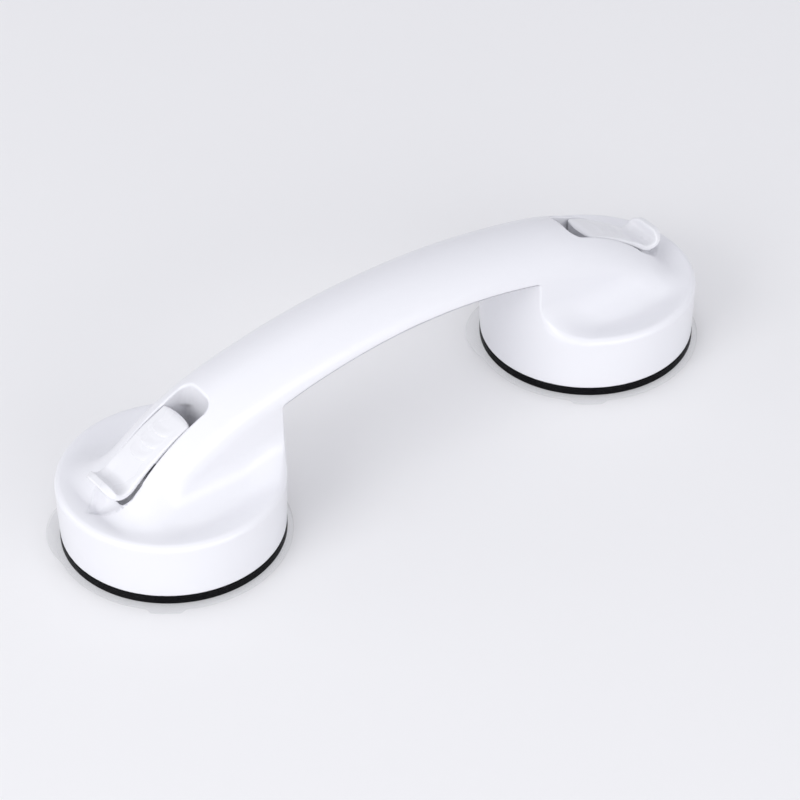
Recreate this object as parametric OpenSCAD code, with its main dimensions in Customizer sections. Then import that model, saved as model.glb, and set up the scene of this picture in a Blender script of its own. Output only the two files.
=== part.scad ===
// Suction grab bar: an arched hollow grip between two suction cups. Each cup has a flip lever
// whose cam pulls a stud, and with it the middle of a clear suction disc, up into the housing.
// Origin: midway between the cups, on the plane of the discs' flat undersides. +Z is away from
// the wall or floor that the cups stick to, and X runs along the bar.

/* [Overall] */
// Distance between the centres of the two cups
cup_spacing = 205; // [198:1:230]
// Height of the grip's ridge at mid span
crown_z = 73.4; // [71:0.2:76]

/* [Cups] */
// Radius of a housing at its rim
cup_r = 44.3; // [43:0.1:47]
// How much narrower a housing is at its lower edge
cup_flare = 0.8; // [0.2:0.1:1.6]
// Height of the rim's top
rim_z = 29.2; // [28:0.1:30.5]
// Radius of the rounded rim
rim_round = 2.6; // [2:0.1:3]
// Depth of the dished top below the rim
dish_depth = 3; // [2:0.1:3.2]
// Width of the slope from the dish's floor up to the rim
dish_slope_w = 14; // [10:0.5:16]
// Wall thickness of the mouldings
wall = 2.6; // [2.2:0.1:3]

/* [Grip] */
// Width of the grip and of the spine over each cup
grip_w = 38; // [36:0.5:42]
// Radius of the ridge's arch, seen from the side
arch_r = 360; // [330:1:380]
// Distance from mid span to where the ridge turns down over a cup
brow_x = 74.5; // [73:0.5:77]
// Radius of the ridge over a cup, seen from the side
brow_r = 101.5; // [99:0.5:106]
// Height of the rounded shoulder from the ridge down to the flat flank
shoulder_h = 13; // [11:0.5:14]
// Height of the same shoulder on the spine over a cup
spine_shoulder_h = 16.2; // [14:0.2:17]
// Radius of the hollow that joins the spine to the dished top
hollow_r = 14; // [11:0.5:16]
// Height of the grip's lower edge at mid span
edge_z = 61.9; // [60:0.2:63]
// Radius of the lower edge's arch
edge_r = 236; // [220:1:260]
// How far the grip cover bulges below the lower edge
cover_bulge = 5; // [4:0.5:6]

/* [Lever] */
// Width of the lever at its heel
lever_w = 16.4; // [15:0.1:17]
// Width of the lever at its tip
tip_w = 19.2; // [18:0.1:20]
// Thickness of the lever's blade and of its curled tip
lever_t = 2.2; // [2:0.1:2.4]
// Radius of the blade's arch, seen from the side
blade_r = 100; // [95:1:110]
// Slope of the blade over the hinge pin, falling outward
blade_slope = 25; // [24.4:0.1:25.6]
// Height of the blade's top above the hinge pin's axis
blade_h = 12.4; // [12.1:0.1:12.7]
// How far the blade reaches inward past its hinge pin
heel_reach = 6.4; // [6:0.1:6.8]
// Distance from the hinge pin out to where the tip starts to curl up
curl_start = 22.8; // [22.4:0.1:23.2]
// Inner radius of the curled tip
curl_r = 5.4; // [5:0.1:5.8]
// Gap between the lever and each side of its slot
side_gap = 0.5; // [0.45:0.05:0.7]
// Length of the open slot behind the lever's heel
heel_room = 8.6; // [8.4:0.2:10]

/* [Mechanism] */
// Height of the hinge pin's axis with the lever closed
pin_z = 41; // [40.4:0.1:41.6]
// Radius of the hinge pin
pin_r = 2; // [1.5:0.1:2.4]
// How far the stud moves when the lever is opened fully
pull = 2.5; // [1.5:0.1:2.8]
// Angle that the lever opens through
lever_open = 90; // [80:1:90]
// Height of the hinge pin's axis above the wear plate with the lever closed
cam_h = 8.5; // [8:0.1:9]
// Radius of the stud's shaft
stud_r = 5; // [4.2:0.1:5.4]
// Radius of the stud's flange
flange_r = 12; // [11:0.1:13]
// Thickness of the stud's flange
flange_t = 2.5; // [2:0.1:3]
// Thickness of the steel wear plate
plate_t = 1.2; // [0.8:0.1:1.6]
// Radius of the spring's wire
wire_r = 0.7; // [0.5:0.05:0.8]
// Number of turns in the return spring
spring_turns = 6; // [5:1:8]

/* [Suction disc and gasket] */
// Radius of the clear suction disc
disc_r = 46; // [45:0.1:48]
// Thickness of the disc at its rim
disc_t = 1.2; // [1:0.1:1.6]
// Radius inside which the closed lever domes the disc
dome_r = 33; // [31:0.5:34]
// Reach of the disc's broad lobe past its rim
lobe_reach = 3.3; // [2:0.1:4]
// Reach of the narrow pull tab past the rim
tab_reach = 2; // [1:0.1:3]
// Width of the pull tab
tab_w = 13; // [10:0.5:18]
// Height of the black gasket ring
gasket_h = 3.5; // [3.2:0.1:4.2]
// Width of the gasket ring
gasket_w = 5.6; // [5:0.1:6]

/* [Screws] */
// Radius of the screws' shanks
screw_r = 1.5; // [1.2:0.1:1.7]
// Radius of the screws' heads
screw_head_r = 2.8; // [2.5:0.1:3]
// Height of the screws' heads
screw_head_h = 1.9; // [1.5:0.1:2]
// Screws that hold each base plate
base_screw_count = 4; // [3:1:6]

/* [Clearances] */
// Radial clearance of a turning or sliding fit
run_gap = 0.05; // [0.03:0.01:0.09]
// Clearance between pieces that are seated on each other
seat_gap = 0.1; // [0.05:0.01:0.2]
// Clearance between the cams and the wear plate
cam_gap = 0.15; // [0.1:0.01:0.25]

/* [Hidden] */
$fn = 96;

left = -1;
right = 1;
through = 1;                // how far a cut runs past the face it opens
cup_x = cup_spacing / 2;

// heights of the stack, from the disc upward
gasket_z = disc_t + seat_gap / 2;
cup_z = gasket_z + gasket_h + seat_gap;
base_r = cup_r - cup_flare;
lip_z = rim_z - rim_round;
dish_z = rim_z - dish_depth;
neck_r = cup_r - 0.3;
bore_r = base_r - wall;     // inside of a housing

// the ridge: an arch, then a tighter arc that turns down over each cup
brow_angle = asin(brow_x / arch_r);
brow_cx = brow_x - brow_r * sin(brow_angle);
brow_cz = crown_z - arch_r * (1 - cos(brow_angle)) - brow_r * cos(brow_angle);
blend = 3;                  // softness of the ridge's run-out into the dished top
function arch(x) = crown_z - arch_r + sqrt(max(1, pow(arch_r, 2) - pow(x, 2)));
function brow(x) = brow_cz + sqrt(max(1, pow(brow_r, 2) - pow(x - brow_cx, 2)));
function bare_ridge(x) = abs(x) < brow_x ? arch(abs(x)) : brow(abs(x));
function above(a, b) = (a + b + sqrt(pow(a - b, 2) + pow(blend, 2))) / 2;
function ridge(x) = above(bare_ridge(x), dish_z);

// the slot that the lever lies in, widening toward its outer end
slot_in = heel_reach + heel_room;
slot_out = 26.5;            // where the slot ends and the finger scoop goes on
slot_corner = 4.5;
slot_wall = 2.2;
slot_w = tip_w + 2 * side_gap;
plate_z = pin_z - cam_h;    // top of the wear plate
ledge_z = plate_z - plate_t;
ledge_out = 9;              // how far the ledge runs outward from the stud
plate_in = 8.5;             // how far the wear plate runs inward from the stud
scoop_in = 19;              // the finger scoop: a floor that rises outward from here ...
scoop_out = 37.5;           // ... to the point where its two sides meet
scoop_wide = slot_out;      // where those sides start to close in
scoop_tilt = 13;
scoop_low = dish_z - (scoop_out - scoop_in) * tan(scoop_tilt);

// the lever's side view, about the hinge pin's axis: an arched blade and a curled tip
cheek_in = 5;               // how far the cheeks reach inward past the pin
curl_end = -24;
heel_swing = slot_in - side_gap;    // the heel is rounded so that it clears the slot's end as it turns
relief_z = pin_z + 8.5;     // up to here the slot's inner corners are cut square for the heel
blade_c = [-blade_r * sin(blade_slope), blade_h - blade_r * cos(blade_slope)];
function blade_under(u) = blade_c[1] + sqrt(pow(blade_r - lever_t, 2) - pow(u - blade_c[0], 2));
curl_from = acos((curl_start - blade_c[0]) / blade_r);    // where the curl starts, from the arch's centre
curl_c = blade_c + (blade_r + curl_r) * [cos(curl_from), sin(curl_from)];

// the stud and what surrounds it
tang_w = lever_w / 2 - 0.7; // flat tang between the lever's cheeks
fork_w = tang_w + 0.6;
eye_r = pin_r + 3.2;
dome_z = pull;
boss_t = 1;                 // extra thickness of the disc under the flange
flange_z = dome_z + disc_t + boss_t + seat_gap;
flange_top = flange_z + flange_t;
sleeve_wall = 1.8;
sleeve_r = stud_r + run_gap + sleeve_wall;
sleeve_z = flange_top + 9;
spring_r = sleeve_r + wire_r + 0.5;
spring_z = flange_top + seat_gap;
spring_top = ledge_z - wall - seat_gap;
boss_wall = 3;
boss_lip = 1;

// the base plate and its screws
base_plate_t = 2.2;
base_plate_z = cup_z;
press_lip = 3.4;
gasket_r = base_r + 0.2;
gasket_in = gasket_r - gasket_w;
base_in_r = flange_r + boss_wall + 2;
base_out_r = bore_r - 0.3;
boss_r = screw_r + 2;
base_screw_at = (base_in_r + gasket_in - press_lip) / 2 + 1.6;
base_screw_len = 12;

// the grip cover and its screws
bulge_r = (pow(grip_w / 2, 2) + pow(cover_bulge, 2)) / (2 * cover_bulge);
cover_lip_h = 3;
lip_t = 1.6;
lip_x = cup_x - cup_r - 2;    // how far from mid span the lips reach
cover_screws = [-0.49, -0.2, 0.2, 0.49] * cup_x;
cover_seat = 1.6;           // plastic under each screw's head
cover_screw_len = 9;
cam_rate = pull / lever_open;

// ---- helpers ----

// Places a piece drawn with +X pointing outward at one of the cups
module at_cup(side) {
    translate([side * cup_x, 0, 0])
        mirror([side < 0 ? 1 : 0, 0, 0])
            children();
}

// Draws a side view, X and Z, and gives it a width along Y
module side_slab(width) {
    rotate([90, 0, 0])
        linear_extrude(width, center = true)
            children();
}

// A closed solid through rings of points that all have the same count
module loft(rings) {
    count = len(rings[0]);
    last = (len(rings) - 1) * count;
    sides = [
        for (i = [0:len(rings) - 2], j = [0:count - 1])
            let (a = i * count + j, b = i * count + (j + 1) % count)
                each [[a, a + count, b], [b, a + count, b + count]]
    ];
    polyhedron(
        points = [for (ring = rings) each ring],
        faces = concat([[for (j = [0:count - 1]) j]], sides, [[for (j = [count - 1:-1:0]) last + j]]),
        convexity = 8
    );
}

// Points on an arc, from angle a to angle b
function arc(centre, r, a, b, steps) =
    [for (i = [0:steps]) centre + r * [cos(a + (b - a) * i / steps), sin(a + (b - a) * i / steps)]];

function reversed(list) = [for (i = [len(list) - 1:-1:0]) list[i]];
function without_first(list) = [for (i = [1:len(list) - 1]) list[i]];

// Height of the dished top, which slopes up to the rim, at a distance r from a cup's centre
slope_out = cup_r - rim_round + 0.6;
slope_in = slope_out - dish_slope_w;
slope_steps = 7;
function rim_rise(r) =
    let (t = min(1, max(0, (r - slope_in) / dish_slope_w)))
    dish_z + dish_depth * t * t * (3 - 2 * t);
function from_cup(x, y) = norm([abs(x) - cup_x, y]);
function chord(x, r) = sqrt(max(0, pow(r, 2) - pow(abs(x) - cup_x, 2)));
function raised(x, p) = [x, p[0], max(p[1], rim_rise(from_cup(x, p[0])))];

// Half of the outer section at x: a rounded crown, a drafted flank, a hollow, the dish and the rim
crown_steps = 9;
hollow_steps = 7;
draft = 0.3;
far_y = cup_r + 3;
shoulder_from = 22;         // from here outward the shoulder deepens
function shoulder_at(x) =
    let (t = min(1, max(0, (abs(x) - shoulder_from) / (cup_x - shoulder_from))))
    shoulder_h + (spine_shoulder_h - shoulder_h) * t * t * (3 - 2 * t);
function outer_half(x) =
    let (
        height = ridge(x) - dish_z,
        shoulder = shoulder_at(x),
        share = min(1, height / (shoulder + hollow_r)),
        w = grip_w / 2,
        foot = w + draft + hollow_r
    )
    concat(
        [for (i = [0:crown_steps]) let (a = 90 * i / crown_steps)
            [w * sin(a), dish_z + height - share * shoulder * (1 - cos(a))]],
        [for (i = [0:hollow_steps]) let (a = 90 * i / hollow_steps)
            [w + draft + hollow_r * (1 - cos(a)), dish_z + share * hollow_r * (1 - sin(a))]],
        [for (i = [0:slope_steps])
            [max(chord(x, slope_in + dish_slope_w * i / slope_steps), foot + 0.2 * (i + 1)), dish_z]],
        [[far_y, dish_z]]
    );
form_bottom = cup_z - 2;
function outer_ring(x) =
    let (half = [for (p = outer_half(x)) raised(x, p)])
    concat(
        [[x, far_y, form_bottom]],
        reversed(half),
        [for (i = [1:len(half) - 1]) [x, -half[i][1], half[i][2]]],
        [[x, -far_y, form_bottom]]
    );

// Stations along the bar: wide apart in the grip, close over the cups
reach = cup_r + 2.5;
grip_steps = 8;
cup_steps = 34;
end_share = 0.6;            // how much the stations crowd toward both ends of a cup
half_stations = concat(
    [for (i = [0:grip_steps - 1]) i * (cup_x - reach) / grip_steps],
    [for (i = [0:cup_steps])
        let (t = 2 * i / cup_steps - 1)
            cup_x + reach * (end_share * sin(90 * t) + (1 - end_share) * t)]
);
stations = concat(
    -1 * reversed([for (i = [1:len(half_stations) - 1]) half_stations[i]]),
    half_stations
);

// Side view of all that lies above the grip's lower edge
module above_edge(half_length, lift = 0) {
    difference() {
        translate([-half_length, 0]) square([2 * half_length, crown_z + 10]);
        translate([0, edge_z - edge_r + lift]) circle(edge_r, $fn = 360);
    }
}

// ---- the handle ----

// Upright limits of one cup: flared wall, rounded rim, and the neck below the grip
module cup_limits() {
    round_z = lip_z + 0.15;
    rim_in = cup_r - rim_round;
    rotate_extrude() {
        polygon([
            [0, cup_z], [base_r, cup_z], [cup_r, round_z],
            [rim_in, round_z], [rim_in, 2 * crown_z], [0, 2 * crown_z]
        ]);
        translate([rim_in, round_z]) circle(rim_round);
    }
    intersection() {
        translate([0, 0, lip_z - 2]) cylinder(r = neck_r, h = crown_z);
        translate([-cup_r - 1, -neck_y, 0]) cube([cup_r / 2, 2 * neck_y, 2 * crown_z]);
    }
}
neck_y = grip_w / 2 + 0.8 * hollow_r;

// Hollow inside the grip and the neck over each cup, up to the slot's end wall
core_w = grip_w / 2 - wall;
core_x = cup_x - slot_in - slot_wall;
roof_r = 24;
module grip_core() {
    span = 2 * asin(core_x / arch_r);
    intersection() {
        translate([0, 0, crown_z - arch_r])
            rotate([90, 0, 0])
                rotate([0, 0, 90 - span / 2])
                    rotate_extrude(angle = span, $fn = 360)
                        intersection() {
                            translate([arch_r - 2 * crown_z, -core_w]) square([2 * crown_z, 2 * core_w]);
                            union() {
                                translate([arch_r - wall - roof_r, 0]) circle(roof_r);
                                translate([arch_r - 2 * crown_z, -core_w])
                                    square([2 * crown_z - wall - roof_r, 2 * core_w]);
                            }
                        }
        union() {
            for (side = [left, right])
                at_cup(side)
                    translate([0, 0, dish_z - wall - 1]) cylinder(r = neck_r - wall, h = crown_z);
            side_slab(grip_w + 2) above_edge(cup_x - cup_r - 1, -through);
            side_slab(grip_w + 2) above_edge(cup_x - cup_r / 2, wall);
        }
    }
}

// Coring on both sides of the slot, below the spine's shoulders
core_side = (grip_w - 2 * wall - slot_w - 2 * slot_wall) / 2;
core_below = 9;
module side_cores() {
    for (s = [-1, 1])
        translate([0, s * (slot_w / 2 + slot_wall + core_side / 2), 0])
            side_slab(core_side)
                intersection() {
                    translate([-slot_in, form_bottom]) square([slot_in + 16, crown_z]);
                    translate([brow_cx - cup_x, brow_cz]) circle(brow_r - core_below, $fn = 360);
                }
}

// What stays inside a cup's cavity: slot trough, guide sleeve, spring seat and screw bosses
module cup_inside() {
    box_w = slot_w + 2 * slot_wall;
    translate([-slot_in - slot_wall, -box_w / 2, ledge_z - wall])
        cube([slot_in + slot_wall + ledge_out + slot_wall, box_w, wall + 2]);
    translate([ledge_out, -box_w / 2, dish_z - wall])
        cube([cup_r - wall - ledge_out, box_w, wall + 2]);
    translate([ledge_out, -box_w / 2, dish_z - wall])
        cube([slot_wall, box_w, ledge_z - dish_z + wall]);
    translate([scoop_in - wall, -box_w / 2, scoop_low - wall])
        cube([cup_r - scoop_in, box_w, dish_z - scoop_low]);
    translate([0, 0, sleeve_z]) cylinder(r = sleeve_r, h = ledge_z - sleeve_z);
    for (i = [0:base_screw_count - 1])
        rotate(360 * (i + 0.5) / base_screw_count)
            translate([base_screw_at, 0, base_plate_z + base_plate_t])
                cylinder(r = boss_r, h = dish_z - base_plate_z - base_plate_t);
}

module cup_cavity() {
    difference() {
        union() {
            translate([0, 0, cup_z - through]) cylinder(r = bore_r, h = dish_z - wall - cup_z + through);
            // a pocket under the slot, up to the ledge
            translate([-slot_in, -core_w, form_bottom])
                cube([slot_in + 14, 2 * core_w, ledge_z - form_bottom]);
            side_cores();
        }
        cup_inside();
    }
}

// Half width of the lever at a distance u from its hinge pin, flaring toward the tip
tip_u = curl_c[0] + curl_r + lever_t;
tip_corner = 7;
flare_to = tip_u - tip_corner;
flare_steps = 8;
function half_w(u) =
    let (share = min(1, max(0, (u + heel_reach) / (flare_to + heel_reach))))
    lever_w / 2 + (tip_w - lever_w) / 2 * pow(share, 3);

// A plan that follows the lever's sides from u = a to u = b, a gap away from them
module flared_plan(a, b, gap) {
    edge = [for (i = [0:flare_steps]) let (u = a + (b - a) * i / flare_steps) [u, half_w(u) + gap]];
    polygon(concat(edge, [for (p = reversed(edge)) [p[0], -p[1]]]));
}

// Plan of the slot: flared like the lever, with round corners at its inner end
module slot_plan() {
    inner = half_w(-heel_reach) + side_gap;
    flared_plan(slot_corner - slot_in, slot_out, side_gap);
    translate([-slot_in, slot_corner - inner]) square([2 * slot_corner, 2 * (inner - slot_corner)]);
    for (s = [-1, 1])
        translate([slot_corner - slot_in, s * (inner - slot_corner)]) circle(slot_corner);
}

// The open slot for the lever, and the finger scoop under its tip
module lever_slot() {
    past_ledge = ledge_out + slot_wall;
    intersection() {
        translate([0, 0, dish_z]) linear_extrude(crown_z) slot_plan();
        union() {
            translate([-slot_in - through, -slot_w, ledge_z]) cube([2 * cup_r, 2 * slot_w, crown_z]);
            translate([past_ledge, -slot_w, dish_z]) cube([cup_r, 2 * slot_w, crown_z]);
        }
    }
    relief_w = half_w(-heel_reach) + side_gap;
    translate([-slot_in, -relief_w, ledge_z]) cube([slot_in, 2 * relief_w, relief_z - ledge_z]);
    scoop_w = slot_w / 2;
    intersection() {
        translate([0, 0, form_bottom])
            linear_extrude(crown_z)
                polygon([[scoop_in, -scoop_w], [scoop_wide, -scoop_w], [scoop_out, 0],
                         [scoop_wide, scoop_w], [scoop_in, scoop_w]]);
        translate([scoop_out, 0, dish_z])
            rotate([0, -scoop_tilt, 0])
                translate([-2 * cup_r, -cup_r, 0]) cube([3 * cup_r, 2 * cup_r, crown_z]);
    }
}

module handle_limits() {
    for (side = [left, right]) at_cup(side) cup_limits();
    side_slab(grip_w + 2) above_edge(cup_x - cup_r / 2);
}

module handle_hollows() {
    difference() {
        grip_core();
        for (x = cover_screws) translate([x, 0, edge_low(x)]) cylinder(r = boss_r, h = crown_z);
    }
    for (x = cover_screws)
        translate([x, 0, edge_low(x) - through]) cylinder(r = screw_r + run_gap, h = cover_screw_len + through);
    for (side = [left, right]) at_cup(side) {
        cup_cavity();
        lever_slot();
        translate([0, 0, form_bottom]) cylinder(r = stud_r + run_gap, h = ledge_z);
        for (i = [0:base_screw_count - 1])
            rotate(360 * (i + 0.5) / base_screw_count)
                translate([base_screw_at, 0, cup_z]) cylinder(r = screw_r + run_gap, h = base_screw_len);
    }
}

module handle_shell() {
    color("white") intersection() {
        loft([for (x = stations) outer_ring(x)]);
        difference() {
            handle_limits();
            handle_hollows();
        }
    }
}

// Height of the lower edge at x
function edge_low(x) = edge_z - edge_r + sqrt(pow(edge_r, 2) - pow(x, 2));

// Turns a section drawn with X as its distance from the lower edge's centre into an arched bar
module arched(r = edge_r) {
    span = 2 * asin((cup_x - cup_r / 2) / edge_r);
    translate([0, 0, edge_z - edge_r])
        rotate([90, 0, 0])
            rotate([0, 0, 90 - span / 2])
                rotate_extrude(angle = span, $fn = 360)
                    children();
}

module grip_cover() {
    color("whitesmoke") difference() {
        union() {
            arched() {
                difference() {
                    intersection() {
                        translate([edge_r - cover_bulge + bulge_r, 0]) circle(bulge_r);
                        translate([edge_r - cover_bulge - 1, -grip_w])
                            square([cover_bulge + 1 - seat_gap, 2 * grip_w]);
                    }
                    translate([edge_r - cover_bulge + bulge_r, 0]) circle(bulge_r - wall);
                }
            }
            // two lips that locate the cover inside the grip
            intersection() {
                arched()
                    for (s = [-1, 1])
                        translate([edge_r - wall, s * (core_w - lip_t) - lip_t / 2])
                            square([wall + cover_lip_h, lip_t]);
                translate([-lip_x, -grip_w, 0]) cube([2 * lip_x, 2 * grip_w, crown_z]);
            }
            for (x = cover_screws)
                translate([x, 0, edge_low(x) - cover_bulge + wall / 2])
                    cylinder(r = screw_head_r + 2, h = cover_bulge - wall / 2 - seat_gap);
        }
        for (side = [left, right])
            at_cup(side) translate([0, 0, -through]) cylinder(r = cup_r + seat_gap, h = 2 * crown_z);
        for (x = cover_screws) {
            translate([x, 0, edge_low(x) - cover_bulge - through]) {
                cylinder(r = screw_head_r + 0.4, h = cover_bulge + through - cover_seat);
                cylinder(r = screw_r + 0.2, h = cover_bulge + cover_lip_h + through);
            }
        }
    }
}

// A pan-head self-tapping screw with a cross recess, head downward, its seat at z = 0
module screw(length) {
    difference() {
        union() {
            cylinder(r = screw_r, h = length - screw_r);
            translate([0, 0, length - screw_r]) cylinder(r1 = screw_r, r2 = 0.3, h = screw_r);
            translate([0, 0, -screw_head_h]) cylinder(r = screw_head_r, h = screw_head_h);
        }
        for (a = [0, 90])
            rotate(a)
                translate([-screw_head_r * 0.6, -0.35, -screw_head_h - through])
                    cube([screw_head_r * 1.2, 0.7, through + screw_head_h * 0.6]);
    }
}

module grip_cover_screws() {
    color("silver")
        for (x = cover_screws)
            translate([x, 0, edge_low(x) - cover_seat - seat_gap]) screw(cover_seat + cover_screw_len - 1);
}

// ---- one cup's mechanism, drawn with +X pointing outward ----

// The cams are involutes, so the stud moves in proportion to the lever's angle
cam_k = cam_rate * 180 / PI;
function cam_point(a) =
    let (p = cam_h - cam_gap - cam_rate * a) [cam_k * cos(a) - p * sin(a), -p * cos(a) - cam_k * sin(a)];

// Draws a point of the heel in to the swing circle
function within_swing(p) = p[0] < 0 && norm(p) > heel_swing ? p * heel_swing / norm(p) : p;

// Side view of the blade and its curled tip, as one bent sheet with a round end
module blade_side() {
    outer_r = blade_r - lever_t;
    heel_a = acos((-heel_reach - blade_c[0]) / blade_r);
    heel_b = acos((-heel_reach - blade_c[0]) / outer_r);
    end_c = curl_c + (curl_r + lever_t / 2) * [cos(curl_end), sin(curl_end)];
    polygon(concat(
        [for (p = arc(blade_c, blade_r, heel_a, curl_from, 10)) within_swing(p)],
        without_first(arc(curl_c, curl_r, curl_from - 180, curl_end, 10)),
        without_first(arc(end_c, lever_t / 2, curl_end + 180, curl_end, 8)),
        without_first(arc(curl_c, curl_r + lever_t, curl_end, curl_from - 180, 10)),
        without_first(arc(blade_c, outer_r, curl_from, heel_b, 8))
    ));
}

// Side view of the two cheeks with their cams
module cheek_side() {
    polygon(concat(
        [for (a = [0:5:95]) cam_point(a)],
        [[-cheek_in, cam_h * 0.7], [-cheek_in, blade_under(-cheek_in) + 1],
         [12, blade_under(12) + 1], [eye_r + 1.5, 1 - cam_h / 2]]
    ));
}

// Plan of the lever: flared, with a bowed heel and rounded corners at the tip
module lever_plan() {
    heel_bow = 16;
    bow = asin(lever_w / 2 / heel_bow);
    bow_c = [heel_bow - heel_reach, 0];
    side_from = bow_c[0] - heel_bow * cos(bow);
    edge = [
        for (i = [1:flare_steps])
            let (u = side_from + (flare_to - side_from) * i / flare_steps) [u, half_w(u)]
    ];
    tip = without_first(arc([flare_to, tip_w / 2 - tip_corner], tip_corner, 90, 0, 8));
    half = concat(edge, tip);
    polygon(concat(
        arc(bow_c, heel_bow, 180 + bow, 180 - bow, 10),
        half,
        [for (p = reversed(half)) [p[0], -p[1]]]
    ));
}

// Room between the cheeks for the stud's eye and tang, over the whole travel
module fork_side() {
    room = eye_r + 0.4;
    circle(room);
    translate([-room - cheek_in, -2 * cam_h]) square([2 * room + cheek_in, 2 * cam_h]);
    translate([-room - cheek_in, -through]) square([room + cheek_in, room + through]);
}

module lever() {
    translate([0, 0, pin_z]) difference() {
        intersection() {
            union() {
                side_slab(2 * tip_w) blade_side();
                side_slab(2 * tip_w) cheek_side();
            }
            translate([0, 0, -2 * cam_h]) linear_extrude(4 * cam_h) lever_plan();
        }
        side_slab(fork_w) fork_side();
        rotate([90, 0, 0]) cylinder(r = pin_r + run_gap / 2, h = lever_w + 2, center = true);
    }
}

module lever_pin() {
    translate([0, 0, pin_z])
        rotate([90, 0, 0]) cylinder(r = pin_r, h = lever_w - 0.6, center = true);
}

module pull_stud() {
    difference() {
        union() {
            translate([0, 0, flange_z]) cylinder(r = flange_r, h = flange_t);
            translate([0, 0, flange_z]) cylinder(r = stud_r, h = ledge_z - 0.5 - flange_z);
            intersection() {
                translate([0, 0, flange_z]) cylinder(r = stud_r, h = pin_z - flange_z);
                translate([-stud_r, -tang_w / 2, flange_z]) cube([2 * stud_r, tang_w, pin_z - flange_z]);
            }
            translate([0, 0, pin_z]) rotate([90, 0, 0]) cylinder(r = eye_r, h = tang_w, center = true);
        }
        translate([0, 0, pin_z])
            rotate([90, 0, 0]) cylinder(r = pin_r + run_gap, h = 2 * stud_r, center = true);
    }
}

module wear_plate() {
    plate_w = lever_w;
    translate([0, 0, ledge_z + seat_gap / 2]) difference() {
        translate([-plate_in, -plate_w / 2, 0]) cube([plate_in + ledge_out, plate_w, plate_t - seat_gap / 2]);
        translate([0, 0, -through]) cylinder(r = stud_r + 0.5, h = plate_t + 2 * through);
    }
}

// The spring's wire, swept along a helix whose end turns close up
spring_sides = 8;
spring_segments = 16;
function spring_height(t) =
    let (
        closed = wire_r * 2.1,
        turn = t * spring_turns,
        run = spring_top - spring_z - 2 * wire_r - 2 * closed
    )
    turn < 1 ? closed * turn
    : turn > spring_turns - 1 ? closed + run + closed * (turn - spring_turns + 1)
    : closed + run * (turn - 1) / (spring_turns - 2);
module return_spring() {
    steps = spring_turns * spring_segments;
    loft([
        for (i = [0:steps])
            let (a = 360 * i / spring_segments, h = spring_z + wire_r + spring_height(i / steps))
            [for (j = [0:spring_sides - 1])
                let (b = -360 * j / spring_sides, r = spring_r + wire_r * cos(b))
                    [r * cos(a), r * sin(a), h + wire_r * sin(b)]]
    ]);
}

// Plate inside a cup that presses the disc's rim and holds the gasket ring
module base_plate() {
    difference() {
        union() {
            translate([0, 0, base_plate_z]) cylinder(r = base_out_r, h = base_plate_t);
            translate([0, 0, disc_t + seat_gap])
                cylinder(r = gasket_in - seat_gap, h = base_plate_z - disc_t - seat_gap + 1);
        }
        cylinder(r = gasket_in - seat_gap - press_lip, h = base_plate_z);
        cylinder(r = base_in_r, h = crown_z);
        for (i = [0:base_screw_count - 1])
            rotate(360 * (i + 0.5) / base_screw_count)
                translate([base_screw_at, 0, 0]) cylinder(r = screw_r + 0.2, h = crown_z);
    }
}

module base_screws() {
    for (i = [0:base_screw_count - 1])
        rotate(360 * (i + 0.5) / base_screw_count)
            translate([base_screw_at, 0, base_plate_z - seat_gap]) screw(base_screw_len - 1);
}

module gasket_ring() {
    bead = 0.5;
    rotate_extrude() {
        translate([gasket_in, gasket_z]) square([gasket_w - bead, gasket_h]);
        translate([gasket_in, gasket_z + bead]) square([gasket_w, gasket_h - 2 * bead]);
        for (z = [gasket_z + bead, gasket_z + gasket_h - bead])
            translate([gasket_r - bead, z]) circle(bead, $fn = 24);
    }
}

// The dome that the closed lever pulls into the disc
function dome(r) = r > dome_r ? 0 : dome_z * pow(cos(90 * r / dome_r), 2);
dome_steps = 11;
lobe_r = 0.6 * disc_r;
lobe_angle = 142;           // both discs lie the same way round
tab_angle = 232;
tab_root = 4;               // how far the tab starts inside the disc's rim
module suction_disc() {
    boss_r2 = flange_r + boss_wall;
    rotate_extrude() {
        polygon(concat(
            [for (i = [0:dome_steps]) let (r = dome_r * i / dome_steps) [r, dome(r)]],
            [[disc_r - 0.4, 0], [disc_r, 0.4], [disc_r, disc_t - 0.3], [disc_r - 0.3, disc_t]],
            [for (i = [dome_steps:-1:0])
                let (r = dome_r * i / dome_steps)
                    if (r > boss_r2) [r, dome(r) + disc_t]],
            [[boss_r2, dome(boss_r2) + disc_t],
             [boss_r2 - 0.8, flange_top + boss_lip + seat_gap],
             [flange_r - 2, flange_top + boss_lip + seat_gap],
             [flange_r - 2, flange_top + seat_gap], [flange_r + seat_gap, flange_top + seat_gap],
             [flange_r + seat_gap, flange_z - seat_gap], [0, flange_z - seat_gap]]
        ));
    }
    rotate(lobe_angle)
        linear_extrude(disc_t)
            difference() {
                union() {
                    translate([disc_r + lobe_reach - lobe_r, 0]) circle(lobe_r);
                    rotate(tab_angle - lobe_angle)
                        translate([disc_r - tab_root, -tab_w / 2]) square([tab_root + tab_reach, tab_w]);
                }
                circle(disc_r - 2);
            }
}

// ---- the pieces at each cup ----

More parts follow.
